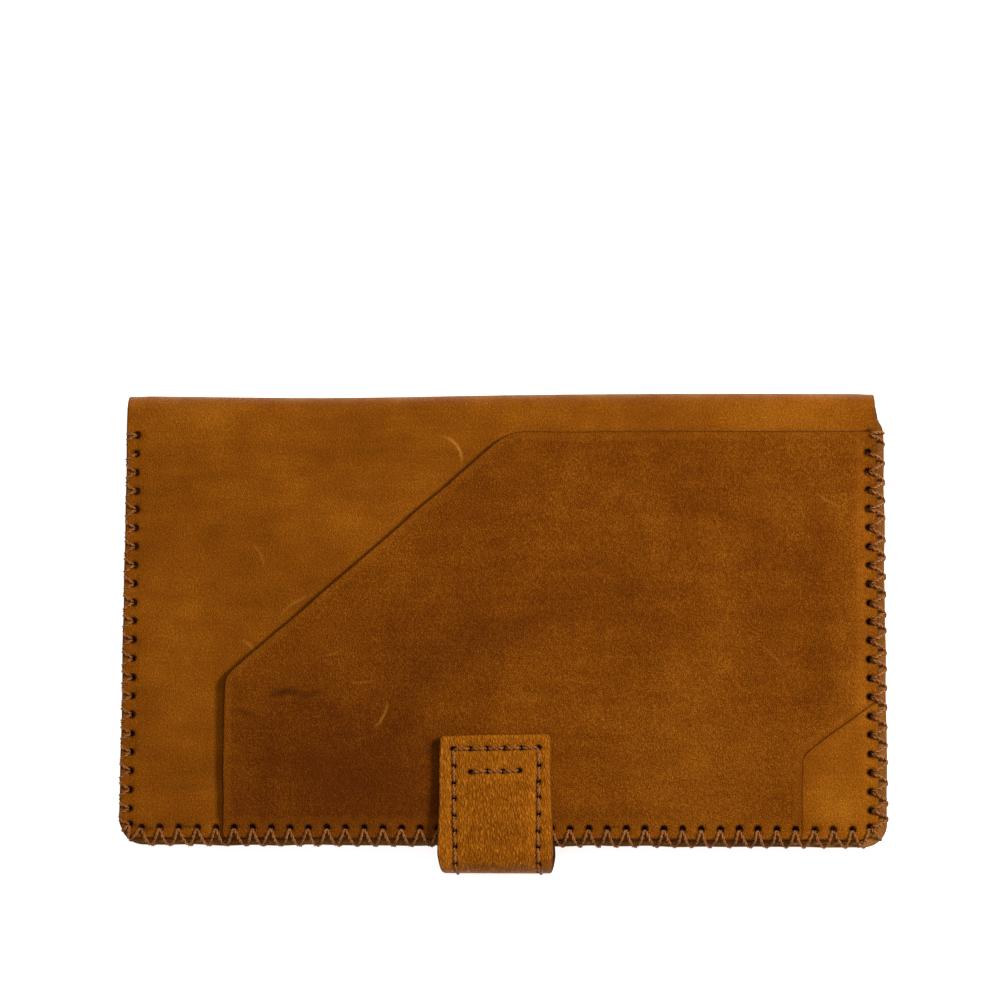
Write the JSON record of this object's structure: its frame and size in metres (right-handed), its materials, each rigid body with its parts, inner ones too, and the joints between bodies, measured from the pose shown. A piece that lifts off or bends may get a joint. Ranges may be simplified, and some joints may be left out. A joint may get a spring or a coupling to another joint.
{
  "type": "long wallet",
  "caption": "Laced bifold long wallet in leather: card and bill pockets inside, a slanted slip pocket outside, closed by a strap round the opening.",
  "frame": {"origin": "on the table under the middle of the closed wallet, lying on its back cover", "axes": "+X along the fold, +Y from the opening to the fold, +Z out of the front cover"},
  "size_m": [0.1902, 0.119, 0.0143],
  "materials": {
    "cover_leather": "waxed, burnished",
    "panel_leather": "waxed, mottled",
    "lining_leather": "natural",
    "strap_leather": "pebbled grain",
    "lacing_thread": "waxed twist",
    "seam_thread": "waxed twist",
    "steel": "plated"
  },
  "bodies": {
    "back_half": {"back_cover": "cover_leather", "back_lining": "lining_leather", "bill_pocket": "lining_leather", "slip_pocket": "lining_leather", "back_edge_lacing": "lacing_thread", "strap_anchor": "strap_leather", "strap_anchor_lining": "strap_leather", "strap_anchor_stitching": "seam_thread"},
    "spine": {"spine_leather": "cover_leather"},
    "front_half": {"front_cover": "cover_leather", "front_pocket_panel": "panel_leather", "front_lining": "lining_leather", "card_pocket_lower": "lining_leather", "card_pocket_middle": "lining_leather", "card_pocket_upper": "lining_leather", "card_divider_stitching": "lacing_thread", "front_edge_lacing": "lacing_thread", "keeper_plate": "steel"},
    "strap_wrap": {"strap_wrap": "strap_leather", "strap_wrap_lining": "strap_leather", "strap_wrap_stitching": "seam_thread"},
    "closure_tab": {"closure_tab": "strap_leather", "closure_tab_lining": "strap_leather", "tab_edge_stitching": "seam_thread", "tab_tack_stitching": "seam_thread", "tab_magnet": "steel"}
  },
  "joints": [
    {"name": "spine_fold", "type": "hinge", "parent": "back_half", "child": "spine", "pos_m": [0, 0.058, 0.0015], "axis": [-1, 0, 0], "range_deg": [0, 90]},
    {"name": "front_fold", "type": "hinge", "parent": "spine", "child": "front_half", "pos_m": [0, 0.058, 0.0085], "axis": [-1, 0, 0], "range_deg": [0, 90]},
    {"name": "strap_fold", "type": "hinge", "parent": "back_half", "child": "strap_wrap", "pos_m": [0, -0.0569, 0.0026], "axis": [1, 0, 0], "range_deg": [0, 90]},
    {"name": "tab_fold", "type": "hinge", "parent": "strap_wrap", "child": "closure_tab", "pos_m": [0, -0.0569, 0.01175], "axis": [1, 0, 0], "range_deg": [0, 90]}
  ],
  "couplings": [
    {"joint": "front_fold", "follows": "spine_fold", "ratio": 1}
  ]
}
